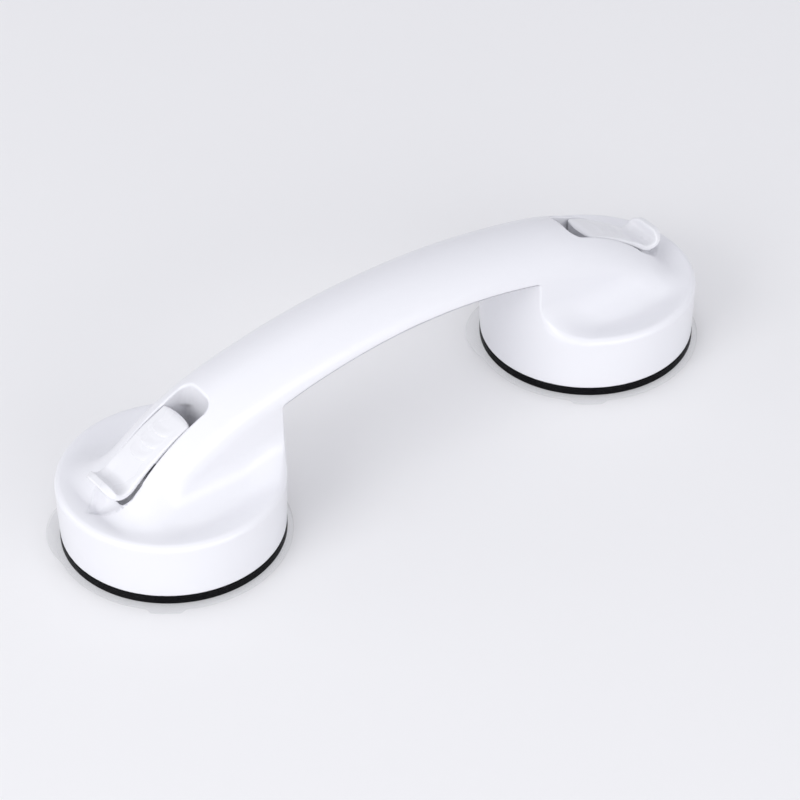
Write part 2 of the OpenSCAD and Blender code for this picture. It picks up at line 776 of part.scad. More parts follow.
module left_lever() { color("white") at_cup(left) lever(); }
module right_lever() { color("white") at_cup(right) lever(); }
module left_lever_pin() { color("silver") at_cup(left) lever_pin(); }
module right_lever_pin() { color("silver") at_cup(right) lever_pin(); }
module left_pull_stud() { color("gold") at_cup(left) pull_stud(); }
module right_pull_stud() { color("gold") at_cup(right) pull_stud(); }
module left_wear_plate() { color("lightsteelblue") at_cup(left) wear_plate(); }
module right_wear_plate() { color("lightsteelblue") at_cup(right) wear_plate(); }
module left_return_spring() { color("silver") at_cup(left) return_spring(); }
module right_return_spring() { color("silver") at_cup(right) return_spring(); }
module left_base_plate() { color("gainsboro") at_cup(left) base_plate(); }
module right_base_plate() { color("gainsboro") at_cup(right) base_plate(); }
module left_base_screws() { color("silver") at_cup(left) base_screws(); }
module right_base_screws() { color("silver") at_cup(right) base_screws(); }
module left_gasket_ring() { color("black") at_cup(left) gasket_ring(); }
module right_gasket_ring() { color("black") at_cup(right) gasket_ring(); }
module left_suction_disc() { color("azure") translate([left * cup_x, 0, 0]) suction_disc(); }
module right_suction_disc() { color("azure") translate([right * cup_x, 0, 0]) suction_disc(); }

handle_shell();
grip_cover();
grip_cover_screws();
left_lever();
left_lever_pin();
left_pull_stud();
left_wear_plate();
left_return_spring();
left_base_plate();
left_base_screws();
left_gasket_ring();
left_suction_disc();
right_lever();
right_lever_pin();
right_pull_stud();
right_wear_plate();
right_return_spring();
right_base_plate();
right_base_screws();
right_gasket_ring();
right_suction_disc();
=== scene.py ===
"""Suction grab bar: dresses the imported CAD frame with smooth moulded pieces, materials and studio light.

The moulded pieces are level surfaces of distance fields. Each field follows the same dimensions as the
CAD part, in millimetres, and is negative inside the piece. Places at a cup are counted from its axis,
which the hinge pin crosses, with u pointing outward along the bar. The two cups mirror each other, apart
from the outlines of their discs, which lie the same way round.
"""
import itertools
import math

import bpy
import numpy as np
from mathutils import Matrix, Vector


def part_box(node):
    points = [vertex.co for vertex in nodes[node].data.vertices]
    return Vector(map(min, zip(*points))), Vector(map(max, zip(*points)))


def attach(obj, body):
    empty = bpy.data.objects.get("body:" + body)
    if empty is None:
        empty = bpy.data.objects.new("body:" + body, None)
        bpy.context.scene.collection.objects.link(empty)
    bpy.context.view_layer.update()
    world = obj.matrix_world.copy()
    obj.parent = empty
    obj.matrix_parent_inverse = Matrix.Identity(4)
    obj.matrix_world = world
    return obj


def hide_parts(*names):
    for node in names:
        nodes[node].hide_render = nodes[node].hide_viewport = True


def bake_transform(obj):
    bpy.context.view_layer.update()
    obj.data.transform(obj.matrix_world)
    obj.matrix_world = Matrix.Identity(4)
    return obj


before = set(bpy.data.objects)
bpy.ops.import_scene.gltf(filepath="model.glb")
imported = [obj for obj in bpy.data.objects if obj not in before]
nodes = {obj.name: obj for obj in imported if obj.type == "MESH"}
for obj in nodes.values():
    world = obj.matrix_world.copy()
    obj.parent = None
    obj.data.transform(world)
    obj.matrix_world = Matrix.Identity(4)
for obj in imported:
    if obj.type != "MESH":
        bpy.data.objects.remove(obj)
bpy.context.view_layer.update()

MM = 0.001
CUPS = ((-1, "left"), (1, "right"))

# ---- places, in millimetres, read from the frame ----


def node_box(node):
    """Lowest and highest corner of a CAD node, in millimetres."""
    low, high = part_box(node)
    return np.array(low) / MM, np.array(high) / MM


shell_low, shell_high = node_box("handle_shell")
ring_low, ring_high = node_box("right_gasket_ring")
lever_low, lever_high = node_box("right_lever")
pin_low, pin_high = node_box("right_lever_pin")
stud_low, stud_high = node_box("right_pull_stud")
spring_low, spring_high = node_box("right_return_spring")

CUP_X = (ring_low[0] + ring_high[0]) / 2     # a cup's axis
RING_R = (ring_high[0] - ring_low[0]) / 2
BASE_R = RING_R - 0.2                        # a housing's radius at its foot, and at its widest
CUP_R = shell_high[0] - CUP_X
CUP_Z = shell_low[2]                         # the housing's foot
CROWN_Z = shell_high[2]                      # the grip's highest point
PIN_Z = (pin_low[2] + pin_high[2]) / 2
PIN_R = (pin_high[2] - pin_low[2]) / 2
LEDGE_Z = node_box("right_wear_plate")[0][2] - 0.05
LEVER_OUT = lever_high[0] - CUP_X
TIP_W = lever_high[1] - lever_low[1]
DISC_EDGE = node_box("right_suction_disc")[1][0] - CUP_X
FLANGE_R = (stud_high[0] - stud_low[0]) / 2

# ---- distance-field helpers ----


def soft_max(a, b, r):
    """Intersection of two fields, its edge rounded to radius r."""
    return np.minimum(-r, np.maximum(a, b)) + np.hypot(np.maximum(a + r, 0), np.maximum(b + r, 0))


def soft_min(a, b, r):
    """Union of two fields, with a fillet of radius r."""
    return -soft_max(-a, -b, r)


def ramp(value, start, end):
    """Smooth step from 0 at start to 1 at end."""
    t = np.clip((value - start) / (end - start), 0, 1)
    return t * t * (3 - 2 * t)


def outline_field(points, x, y):
    """Signed distance to a closed outline, negative inside."""
    pts = np.asarray(points, float)
    nearest = np.full(np.broadcast(x, y).shape, 1e9)
    inside = np.zeros(nearest.shape, bool)
    for (ax, ay), (bx, by) in zip(pts, np.roll(pts, -1, axis=0)):
        ex, ey = bx - ax, by - ay
        t = np.clip(((x - ax) * ex + (y - ay) * ey) / max(ex * ex + ey * ey, 1e-12), 0, 1)
        nearest = np.minimum(nearest, np.hypot(x - ax - t * ex, y - ay - t * ey))
        crosses = (ay > y) != (by > y)
        inside ^= crosses & (x < ax + (y - ay) * ex / (ey if abs(ey) > 1e-12 else 1e-12))
    return np.where(inside, -nearest, nearest)


def field_slope(field, points, step=0.02):
    """Gradient of a field at the points."""
    slope = np.empty_like(points)
    for axis in range(3):
        high, low = points.copy(), points.copy()
        high[:, axis] += step
        low[:, axis] -= step
        slope[:, axis] = (field(*high.T) - field(*low.T)) / (2 * step)
    return slope


# ---- meshes from fields, by surface nets ----


def crossed_cells(inside):
    """The grid cells that the surface passes through, and a grid with each one's number, or else -1."""
    count = np.zeros(tuple(n - 1 for n in inside.shape), np.uint8)
    nx, ny, nz = count.shape
    for i, j, k in itertools.product((0, 1), repeat=3):
        count += inside[i:i + nx, j:j + ny, k:k + nz]
    cells = np.argwhere((count > 0) & (count < 8))
    number = np.full(count.shape, -1, np.int64)
    number[tuple(cells.T)] = np.arange(len(cells))
    return cells, number


def crossing_means(values, cells, axes):
    """For each cell, the mean of the points where the field changes sign along the cell's edges."""
    total = np.zeros((len(cells), 3))
    hits = np.zeros(len(cells))
    for axis in range(3):
        others = [a for a in range(3) if a != axis]
        for shift in itertools.product((0, 1), repeat=2):
            low = cells.copy()
            low[:, others] += shift
            high = low.copy()
            high[:, axis] += 1
            a, b = values[tuple(low.T)], values[tuple(high.T)]
            cut = (a < 0) != (b < 0)
            t = np.where(cut, a / np.where(cut, a - b, 1), 0)
            point = np.stack([axes[d][low[:, d]] for d in range(3)], axis=1).astype(float)
            point[:, axis] += t * (axes[axis][high[:, axis]] - axes[axis][low[:, axis]])
            total += np.where(cut[:, None], point, 0)
            hits += cut
    return total / hits[:, None]


def settle(field, points, cell_size, rounds=3):
    """Moves points on to the surface where the field is zero, by at most half a cell each round."""
    for _ in range(rounds):
        slope = field_slope(field, points)
        length = np.maximum((slope ** 2).sum(axis=1), 0.05)
        step = -slope * (field(*points.T) / length)[:, None]
        points = points + np.clip(step, -0.5 * cell_size, 0.5 * cell_size)
    return points


def net_quads(inside, number):
    """Quads that join the four cells round each grid edge that the surface crosses, facing outward."""
    quads = []
    for axis in range(3):
        b, c = (axis + 1) % 3, (axis + 2) % 3
        front = [slice(None)] * 3
        back = [slice(None)] * 3
        front[axis] = slice(1, None)
        back[axis] = slice(None, -1)
        edges = np.argwhere(inside[tuple(back)] != inside[tuple(front)])
        edges = edges[(edges[:, b] > 0) & (edges[:, c] > 0)]
        edges = edges[(edges[:, b] < inside.shape[b] - 1) & (edges[:, c] < inside.shape[c] - 1)]
        ring = []
        for step_b, step_c in ((-1, -1), (0, -1), (0, 0), (-1, 0)):
            cell = edges.copy()
            cell[:, b] += step_b
            cell[:, c] += step_c
            ring.append(number[tuple(cell.T)])
        ring = np.stack(ring, axis=1)
        outward = inside[tuple(edges.T)]
        quads.append(np.where(outward[:, None], ring, ring[:, ::-1]))
    return np.concatenate(quads)


def level_surface(field, xs, ys, zs):
    """Vertices, quads and normals of the surface where the field is zero."""
    axes = (xs, ys, zs)
    values = field(xs[:, None, None], ys[None, :, None], zs[None, None, :]).astype(np.float32)
    inside = values < 0
    cells, number = crossed_cells(inside)
    cell_size = np.stack([axes[d][cells[:, d] + 1] - axes[d][cells[:, d]] for d in range(3)], axis=1)
    points = settle(field, crossing_means(values, cells, axes), cell_size)
    slope = field_slope(field, points)
    normals = slope / np.maximum(np.linalg.norm(slope, axis=1), 1e-9)[:, None]
    return points, net_quads(inside, number), normals


def lines(low, high, step):
    """Grid lines from low to high, about step apart."""
    return np.linspace(low, high, max(2, int(round((high - low) / step)) + 1))


def mirrored(half):
    """Grid lines from -half to half, from those that run from 0 up."""
    return np.concatenate([-half[:0:-1], half])


def new_mesh(name, points, faces, normals=None):
    """A smooth mesh object from points in millimetres and faces of any size."""
    corners = np.concatenate(list(faces))
    starts = np.cumsum([0] + [len(face) for face in faces])[:-1]
    mesh = bpy.data.meshes.new(name)
    mesh.vertices.add(len(points))
    mesh.vertices.foreach_set("co", (np.asarray(points) * MM).astype(np.float32).ravel())
    mesh.loops.add(len(corners))
    mesh.loops.foreach_set("vertex_index", corners.astype(np.int32))
    mesh.polygons.add(len(faces))
    mesh.polygons.foreach_set("loop_start", starts.astype(np.int32))
    mesh.update(calc_edges=True)
    mesh.validate()
    mesh.polygons.foreach_set("use_smooth", np.ones(len(mesh.polygons), bool))
    if normals is not None and len(mesh.vertices) == len(normals):
        mesh.normals_split_custom_set_from_vertices([tuple(n) for n in normals])
    piece = bpy.data.objects.new(name, mesh)
    bpy.context.scene.collection.objects.link(piece)
    return piece


def ring_quads(count, size, closed=True):
    """Quads between neighbouring rings of size points; when closed, the last ring joins the first."""
    faces = []
    for i in range(count if closed else count - 1):
        j = (i + 1) % count
        for k in range(size):
            m = (k + 1) % size
            faces.append((i * size + k, j * size + k, j * size + m, i * size + m))
    return faces


def lathe(name, section, centre_x, segments=180):
    """A ring about a cup's axis; section gives its closed outline of (radius, height) at an angle."""
    points = []
    for i in range(segments):
        a = 2 * math.pi * i / segments
        outline = section(a)
        points += [(centre_x + r * math.cos(a), r * math.sin(a), z) for r, z in outline]
    return new_mesh(name, points, ring_quads(segments, len(outline)))


# ---- the lever's bent blade, about the hinge pin; the slot follows its width ----
HEEL = 6.4                   # the blade's rounded inner end, this far inward of the pin
HEEL_BOW = 16.0              # its radius in plan
HEEL_SWING = 14.5            # it stays inside this circle about the pin
HEEL_ROUND = 0.8
HEEL_UNTIL = 9.0             # the heel shapes the lever as far out as this
LEVER_W = 16.4
BLADE_T = 2.2
BLADE_R = 100.0              # the blade's arch in side view
BLADE_SLOPE = math.radians(25)   # its slope over the pin
BLADE_H = 12.4               # its height there
BLADE_ROUND = 0.85
CURL_START = 22.8            # where the tip starts to curl up
CURL_R = 5.4
CURL_END = math.radians(-24)
TIP_CORNER = 6.6

# centres of the blade's arch and of the curl, and lengths along the bent sheet
BLADE_U = -BLADE_R * math.sin(BLADE_SLOPE)
BLADE_V = BLADE_H - BLADE_R * math.cos(BLADE_SLOPE)
SHEET_R = BLADE_R - BLADE_T / 2
CURL_FROM = math.asin((CURL_START - BLADE_U) / BLADE_R)
CURL_U = BLADE_U + (BLADE_R + CURL_R) * math.sin(CURL_FROM)
CURL_V = BLADE_V + (BLADE_R + CURL_R) * math.cos(CURL_FROM)
CURL_ALONG = SHEET_R * (CURL_FROM - BLADE_SLOPE)
CURL_TURN = math.pi / 2 + CURL_FROM + CURL_END
TIP_ALONG = CURL_ALONG + (CURL_R + BLADE_T / 2) * CURL_TURN + BLADE_T / 2
FLARE_TO = CURL_U + CURL_R + BLADE_T - 7     # the blade reaches the tip's width here


def lever_half_width(u):
    """Half width of the lever at a distance u from its hinge pin."""
    t = np.clip((u + HEEL) / (FLARE_TO + HEEL), 0, 1)
    return LEVER_W / 2 + (TIP_W - LEVER_W) / 2 * t ** 3


# ---- the handle ----
WALL = 2.6
CORE_SHORT = 1.0             # the grip's hollow opens below as far as this from a housing
GRIP_W = 38.0
SHOULDER = 13.0              # height of the grip's rounded crown
SPINE_SHOULDER = 16.2        # the same on the spine over a cup
SHOULDER_FROM = 22.0         # where the crown starts to deepen
ARCH_R = 360.0               # the ridge's arch in side view
BROW_X = 74.5                # where it turns down over a cup
BROW_R = 101.5
BROW_LEAST = 20.0            # keeps the slope finite beyond the brow's end
EDGE_Z = 61.9                # the grip's lower edge at mid span
EDGE_R = 236.0
EDGE_ROUND = 0.7
NECK_FILLET = 1.2            # where the lower edge meets a housing's wall
FOOT_ROUND = 0.5

RIM_Z = 29.2                 # top of a housing's rim
RIM_ROUND = 2.6
RIM_FADE = (9.0, 1.0)        # heights over the rim between which EDGE_ROUND turns into RIM_ROUND
DISH_Z = 26.2                # floor of the dished top
SLOPE_IN = 28.3              # the dish slopes up between these distances from the cup's axis
SLOPE_OUT = 42.3
HOLLOW_R = 14.0              # hollow between the spine and the dish
HOLLOW_LEAST = 0.12          # least share of its height, where the ridge runs out
HOLLOW_FADE = (-3.0, 16.0)   # ridge heights over the dish between which the share grows to 1

SLOT_IN = 15.0               # the lever's slot, from the hinge pin inward and outward
SLOT_OUT = 26.5
SLOT_CORNER = 4.5            # its corners in plan: at the top, deep down, and at the outer end
SLOT_CORNER_LOW = 1.4
SLOT_CORNER_OUT = 4.0
CORNER_FADE = (7.0, 10.5)    # heights over the pin between which the low corner turns into the top one
SLOT_FLOOR_ROUND = 0.6
SIDE_GAP = 0.5
LEDGE_OUT = 11.2             # outer end of the ledge that carries the wear plate
SCOOP_IN = 19.0              # the finger scoop: a gouge that narrows outward to a point
SCOOP_OUT = 37.5
SCOOP_DEPTH = 2.7            # its depth, reached this far inside its outline
SCOOP_SPAN = 6.0
SCOOP_CORNER = 3.0
SCOOP_JOIN = 0.8             # fillet between the scoop and the slot
ROLL = 1.0                   # rolled edge round the slot and the scoop

SLEEVE_R = 6.85              # guide sleeve round the stud, and its lower end
SLEEVE_Z = 16.3
SLEEVE_SINK = 0.3            # its top stays this far below the ledge
STUD_BORE = 5.3
BORE_PAST = 0.5              # the bore runs this far past the ledge

BROW_ANGLE = math.asin(BROW_X / ARCH_R)
BROW_CX = BROW_X - BROW_R * math.sin(BROW_ANGLE)
BROW_CZ = CROWN_Z - ARCH_R * (1 - math.cos(BROW_ANGLE)) - BROW_R * math.cos(BROW_ANGLE)


def ridge(x):
    """Height and slope of the ridge at a distance x from mid span."""
    arch = np.sqrt(np.maximum(ARCH_R ** 2 - x ** 2, 1))
    brow = np.sqrt(np.maximum(BROW_R ** 2 - (x - BROW_CX) ** 2, BROW_LEAST ** 2))
    height = np.where(x < BROW_X, CROWN_Z - ARCH_R + arch, BROW_CZ + brow)
    slope = np.where(x < BROW_X, x / arch, (x - BROW_CX) / brow)
    return height, slope


def spine_field(x, y, z):
    """The grip and its spine over the cups: a rounded crown on upright flanks."""
    height, slope = ridge(x)
    shoulder = SHOULDER + (SPINE_SHOULDER - SHOULDER) * ramp(x, SHOULDER_FROM, CUP_X)
    stretch = GRIP_W / 2 / shoulder
    up = np.maximum(z - height + shoulder, 0) * stretch
    reach = np.maximum(np.hypot(y, up), 1e-6)
    steepness = np.sqrt((y / reach) ** 2 + (stretch * up / reach) ** 2 * (1 + slope ** 2))
    return (reach - GRIP_W / 2) / np.maximum(steepness, 0.3)


def dish_top(r):
    """Height of a housing's dished top at a distance r from its axis."""
    return DISH_Z + (RIM_Z - DISH_Z) * ramp(r, SLOPE_IN, SLOPE_OUT)


def hollow_share(x):
    """Share of its full height that the hollow beside the spine keeps as the ridge runs out over a cup."""
    low, high = HOLLOW_FADE
    return HOLLOW_LEAST + (1 - HOLLOW_LEAST) * ramp(ridge(x)[0], DISH_Z + low, DISH_Z + high)


def hollow_union(spine, dish, share):
    """The spine and the dish joined by a hollow as wide as HOLLOW_R and share times as high."""
    squeezed = dish / share
    beside = np.maximum(HOLLOW_R - spine, 0)
    over = np.maximum(HOLLOW_R - squeezed, 0)
    steepness = np.hypot(beside, over / share) / np.maximum(np.hypot(beside, over), 1e-6)
    return soft_min(spine, squeezed, HOLLOW_R) / np.maximum(steepness, 1)


def slot_field(u, y, z, form):
    """The lever's slot, and the finger scoop that is gouged out of the form under the lever's tip."""
    sides = np.abs(y) - lever_half_width(u) - SIDE_GAP
    opening = ramp(z - PIN_Z, *CORNER_FADE)
    corner = SLOT_CORNER_LOW + (SLOT_CORNER - SLOT_CORNER_LOW) * opening
    plan = soft_max(soft_max(sides, -(u + SLOT_IN), corner), u - SLOT_OUT, SLOT_CORNER_OUT)
    floor = np.minimum(LEDGE_Z - z, np.maximum(DISH_Z - z, LEDGE_OUT - u))
    slot = soft_max(plan, floor, SLOT_FLOOR_ROUND)

    half = TIP_W / 2 + SIDE_GAP
    closing = math.atan2(half, SCOOP_OUT - SLOT_OUT)
    tapered = (np.abs(y) - half) * math.cos(closing) + (u - SLOT_OUT) * math.sin(closing)
    outline = soft_max(np.abs(y) - half, tapered, SCOOP_CORNER)
    inset = np.clip(-outline / SCOOP_SPAN, 0, 1)
    gouge = -form - SCOOP_DEPTH * inset * (2 - inset)
    scoop = np.maximum(np.maximum(outline, gouge), SCOOP_IN - u)
    return soft_min(slot, scoop, SCOOP_JOIN)


def handle_field(x, y, z):
    """The one-piece handle: arched grip, necks, cup housings, slots and the hollow inside."""
    x = np.abs(x)
    u = x - CUP_X
    r = np.hypot(u, y)

    # dished tops with a raised rim, and the spine that sweeps out of them
    form = hollow_union(spine_field(x, y, z), z - dish_top(r), hollow_share(x))

    # upright limits: the flared housing wall, and the grip's arched lower edge
    flare = np.clip((z - CUP_Z) / (RIM_Z - RIM_ROUND - CUP_Z), 0, 1)
    cup = r - (BASE_R + (CUP_R - BASE_R) * flare)
    edge = np.maximum(EDGE_R - np.hypot(x, z - EDGE_Z + EDGE_R), u + CUP_R / 2)
    edge_round = EDGE_ROUND + (RIM_ROUND - EDGE_ROUND) * ramp(z - RIM_Z, *RIM_FADE)
    solid = soft_max(form, soft_min(cup, edge, NECK_FILLET), edge_round)

    # the hollow, open below for the base plates and the grip cover
    bore = np.maximum(r - BASE_R + WALL, z - DISH_Z + WALL)
    open_from = np.minimum(np.minimum(u + CUP_R + CORE_SHORT, edge + WALL), cup + WALL)
    core = np.maximum(np.maximum(form + WALL, u + SLOT_IN + WALL), open_from)
    cut = slot_field(u, y, z, form)
    hollow = np.maximum(np.minimum(bore, core), WALL - cut)
    body = np.maximum(soft_max(solid, -cut, ROLL), -hollow)

    # guide sleeve for the stud, and the bore through it
    sleeve = np.maximum(r - SLEEVE_R, np.maximum(SLEEVE_Z - z, z - LEDGE_Z + SLEEVE_SINK))
    stud_bore = np.maximum(r - STUD_BORE, z - LEDGE_Z - BORE_PAST)
    body = np.maximum(np.minimum(body, sleeve), -stud_bore)
    return soft_max(body, CUP_Z - z, FOOT_ROUND)


def build_handle():
    """The handle, on a grid that is finer at the cups than along the grip."""
    fine, coarse = ((0.62, 1.4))
    margin = 0.9
    cup_start = CUP_X - CUP_R - 2
    grip_lines = lines(0, cup_start, coarse)[:-1]
    cup_lines = lines(cup_start, CUP_X + CUP_R + margin, fine)
    xs = mirrored(np.concatenate([grip_lines, cup_lines]))
    ys = mirrored(lines(0, CUP_R + margin, fine))
    zs = lines(CUP_Z - 0.8, CROWN_Z + margin, fine)
    piece = new_mesh("handle_moulding", *level_surface(handle_field, xs, ys, zs))
    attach(piece, "housing")
    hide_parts("handle_shell")
    return piece


# ---- the levers, about their hinge pins ----
HEEL_FAR = -4.0              # field value of the heel's limit further out: well inside
FACE_CROWN = 0.3             # how far the blade's face falls away toward its sides
SPOON = (17.0, 25.0)         # the blade turns into the spoon between these distances along the sheet
BOWL_RIM = 0.4               # height of the spoon's rim over its bowl
BOWL_EDGE = (5.0, 1.0)       # the bowl rises to its rim between these distances from the outline
BOWL_SINK = 0.15
TIP_SWELL = 0.8              # the spoon's end thickens by this
TIP_SWELL_RUN = (6.0, 1.5)   # between these distances from the tip
MARKS = (5.4, 11.4, 17.2)    # the thumb marks' places along the sheet
MARK_BOW = 9.0
MARK_HEIGHT = 0.5
MARK_HALF_W = 5.2
MARK_INNER = (-3.6, -0.2)    # a mark's gentle inner slope and its steep outer one
MARK_OUTER = (0.5, 0.0)

CAM_H = 8.5                  # the cam's reach below the pin when the lever is closed
CAM_GAP = 0.15
CAM_TO = 95                  # degrees of the involute that the cam has
CAM_STEP = 5
PULL = 2.5                   # the stud's travel over the lever's quarter turn
CHEEK_IN = 5.0               # the cheeks' inner and outer edges
CHEEK_OUT = 12.0
CHEEK_SET = 0.02             # the cheeks stay this far inside the blade's sides
CHEEK_FILLET = 0.3
CAM_SHOULDER = 0.7 * CAM_H   # where the cam ends and the inner edge runs upright
EYE_R = PIN_R + 3.2          # the stud's eye round the pin
EYE_ROOM = 0.4               # clearance round it in the fork
FORK_W = LEVER_W / 2 - 0.1
PIN_GAP = 0.05
CHEEK_BEND_U = EYE_R + 1.5   # where the cheeks' outer edge bends toward the cam
CHEEK_BEND_Z = 1 - CAM_H / 2


def sheet(u, z):
    """Distance along the bent blade, from over the pin outward, and height above its middle."""
    across, up = u - BLADE_U, z - BLADE_V
    along = SHEET_R * (np.arctan2(across, up) - BLADE_SLOPE)
    above = np.hypot(across, up) - SHEET_R
    curl_r = CURL_R + BLADE_T / 2
    across, up = u - CURL_U, z - CURL_V
    turned = CURL_FROM - np.arctan2(-across, -up)
    curled = across * math.cos(CURL_FROM) - up * math.sin(CURL_FROM) > 0
    along = np.where(curled, CURL_ALONG + curl_r * turned, along)
    above = np.where(curled, curl_r - np.hypot(across, up), above)
    return along, above


def thumb_mark(along, y, place):
    """One raised crescent, bowed toward the tip: steep on its outer side, fading inward."""
    off = np.hypot(along - place + MARK_BOW, y) - MARK_BOW
    rise = ramp(off, *MARK_INNER) * ramp(off, *MARK_OUTER) * (along > place - MARK_BOW)
    return MARK_HEIGHT * rise * np.clip(1 - (y / MARK_HALF_W) ** 2, 0, 1)


def cam_outline():
    """Side view of the cheeks: an involute cam below, running up into the blade."""
    rate = PULL / (math.pi / 2)
    points = []
    for a in np.radians(np.arange(0, CAM_TO + 1, CAM_STEP)):
        p = CAM_H - CAM_GAP - rate * a
        points.append((rate * math.cos(a) - p * math.sin(a), -p * math.cos(a) - rate * math.sin(a)))
    points.append((-CHEEK_IN, CAM_SHOULDER))
    for u in (-CHEEK_IN, CHEEK_OUT):
        points.append((u, BLADE_V + math.sqrt(SHEET_R ** 2 - (u - BLADE_U) ** 2)))
    points.append((CHEEK_BEND_U, CHEEK_BEND_Z))
    return points


CAM = cam_outline()


def lever_field(u, y, z):
    """A flip lever about its hinge pin: blade, curled spoon tip and two cam cheeks."""
    along, above = sheet(u, z)
    from_pin = np.hypot(u, z)
    side = np.abs(y) - lever_half_width(along * FLARE_TO / TIP_ALONG)
    outline = soft_max(side, along - TIP_ALONG, TIP_CORNER)
    heel = np.hypot(u + HEEL - HEEL_BOW, y) - HEEL_BOW
    heel = np.where(u < HEEL_UNTIL, soft_max(heel, from_pin - HEEL_SWING, HEEL_ROUND), HEEL_FAR)

    # the face: slightly crowned across, three thumb marks, and a shallow bowl inside a raised rim
    spoon = ramp(along, *SPOON)
    swell_from, swell_to = (TIP_ALONG - back for back in TIP_SWELL_RUN)
    face = BLADE_T / 2 - FACE_CROWN * (1 - spoon) * (y / (LEVER_W / 2)) ** 2
    face = face + spoon * (BOWL_RIM * ramp(-outline, *BOWL_EDGE) - BOWL_SINK)
    face = face + TIP_SWELL * ramp(along, swell_from, swell_to)
    for place in MARKS:
        face = face + thumb_mark(along, y, place)
    plate = soft_max(above - face, np.maximum(outline, heel), BLADE_ROUND)
    plate = soft_max(plate, -above - BLADE_T / 2, BLADE_ROUND)

    cheeks = np.maximum(outline_field(CAM, u, z), np.maximum(side, heel) + CHEEK_SET)
    lever = soft_min(plate, cheeks, CHEEK_FILLET)

    # the fork: room between the cheeks for the stud's eye, as the lever turns from closed to open
    room = EYE_R + EYE_ROOM
    fork = np.minimum(from_pin - room, np.maximum(u - room, z))
    fork = np.minimum(fork, np.maximum(u, z - room))
    fork = np.maximum(fork, np.abs(y) - FORK_W / 2)
    return np.maximum(np.maximum(lever, -fork), PIN_R + PIN_GAP - from_pin)


def build_levers():
    """Both levers from one surface: the left one is its mirror image."""
    step = 0.34
    margin = 0.7
    us = lines(-CAM_H - margin, LEVER_OUT + margin, step)
    ys = lines(-TIP_W / 2 - margin, TIP_W / 2 + margin, step)
    zs = lines(-CAM_H - margin, HEEL_SWING + margin, step)
    points, faces, normals = level_surface(lever_field, us, ys, zs)
    for side, name in CUPS:
        moved = points * (side, 1, 1) + (side * CUP_X, 0, PIN_Z)
        turned = faces if side > 0 else faces[:, ::-1]
        piece = new_mesh(f"{name}_flip_lever", moved, turned, normals * (side, 1, 1))
        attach(piece, f"{name}_lever_body")
        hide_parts(f"{name}_lever")
        yield piece


# ---- the gaskets ----
GASKET_W = 5.6
GASKET_CHAMFER = 0.3         # at its inner corners
GASKET_EDGE = 0.9            # its flat faces end this far inside its outer face
GASKET_ROUND = 0.55          # how far the outer face is drawn in at its edges
GROOVES = (0.27, 0.5, 0.73)  # fine grooves round the outer face, as shares of its height
GROOVE_DEPTH = 0.30
GROOVE_SPREAD = 0.035


def gasket_outline():
    """The ring's section: flat faces, and a rounded outer face with fine grooves."""
    low, high = ring_low[2], ring_high[2]
    inner = RING_R - GASKET_W
    points = [(inner, low + GASKET_CHAMFER), (inner + GASKET_CHAMFER, low), (RING_R - GASKET_EDGE, low)]
    rows = 44
    for i in range(rows + 1):
        t = i / rows
        drawn_in = GASKET_ROUND * (1 - math.sqrt(max(0.0, 1 - abs(2 * t - 1) ** 9)))
        groove = sum(GROOVE_DEPTH * math.exp(-((t - place) / GROOVE_SPREAD) ** 2) for place in GROOVES)
        points.append((RING_R - drawn_in - groove, low + t * (high - low)))
    points += [(RING_R - GASKET_EDGE, high), (inner + GASKET_CHAMFER, high), (inner, high - GASKET_CHAMFER)]
    return points


def build_gasket(side, name):
    """The black ring at a housing's lower edge."""
    outline = gasket_outline()
    piece = lathe(f"{name}_gasket", lambda angle: outline, side * CUP_X)
    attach(piece, "housing")
    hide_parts(f"{name}_gasket_ring")
    return piece


# ---- the suction discs ----
DISC_T = 1.2
DOME_R = 33.0
DOME_Z = PULL                # the closed lever holds the dome up by the stud's travel
DOME_STEPS = 16
BOSS_R = 15.0                # the boss round the stud's flange
BOSS_FOOT = 0.6 * DOME_Z + DISC_T
BOSS_TOP = 8.4
BOSS_ROUND = 1.2             # its upper edge is rounded over this width
LIP_IN = 2.0                 # its lip reaches this far in over the flange
LIP_T = 1.0
FLANGE_GAP = 0.1
CENTRE_R = 0.4               # the section starts this far from the axis
LOBE_R = 0.6 * DISC_EDGE     # the broad lobe, and how far it stands past the round edge
LOBE_REACH = 3.3
LOBE_ANGLE = math.radians(142)
TAB_REACH = 2.0              # the narrow pull tab
TAB_W = 13.0
TAB_RUN = 1.2                # half the width of the tab's sloping sides
TAB_ANGLE = math.radians(232)


def disc_reach(angle):
    """Outline of a disc: round, with a broad lobe on one side and a narrow pull tab beside it."""
    lobe_c = DISC_EDGE + LOBE_REACH - LOBE_R
    off = angle - LOBE_ANGLE
    inside = LOBE_R ** 2 - (lobe_c * math.sin(off)) ** 2
    lobe = lobe_c * math.cos(off) + math.sqrt(inside) if inside > 0 and math.cos(off) > 0 else 0
    beside = abs(DISC_EDGE * math.sin(angle - TAB_ANGLE)) if math.cos(angle - TAB_ANGLE) > 0 else 99
    t = min(1, max(0, (TAB_W / 2 + TAB_RUN - beside) / (2 * TAB_RUN)))
    tab = DISC_EDGE + TAB_REACH * t * t * (3 - 2 * t)
    return max(DISC_EDGE, lobe, tab)


def dome(r):
    """Height of a disc's underside at a distance r from its axis."""
    return DOME_Z * math.cos(math.pi / 2 * r / DOME_R) ** 2 if r < DOME_R else 0


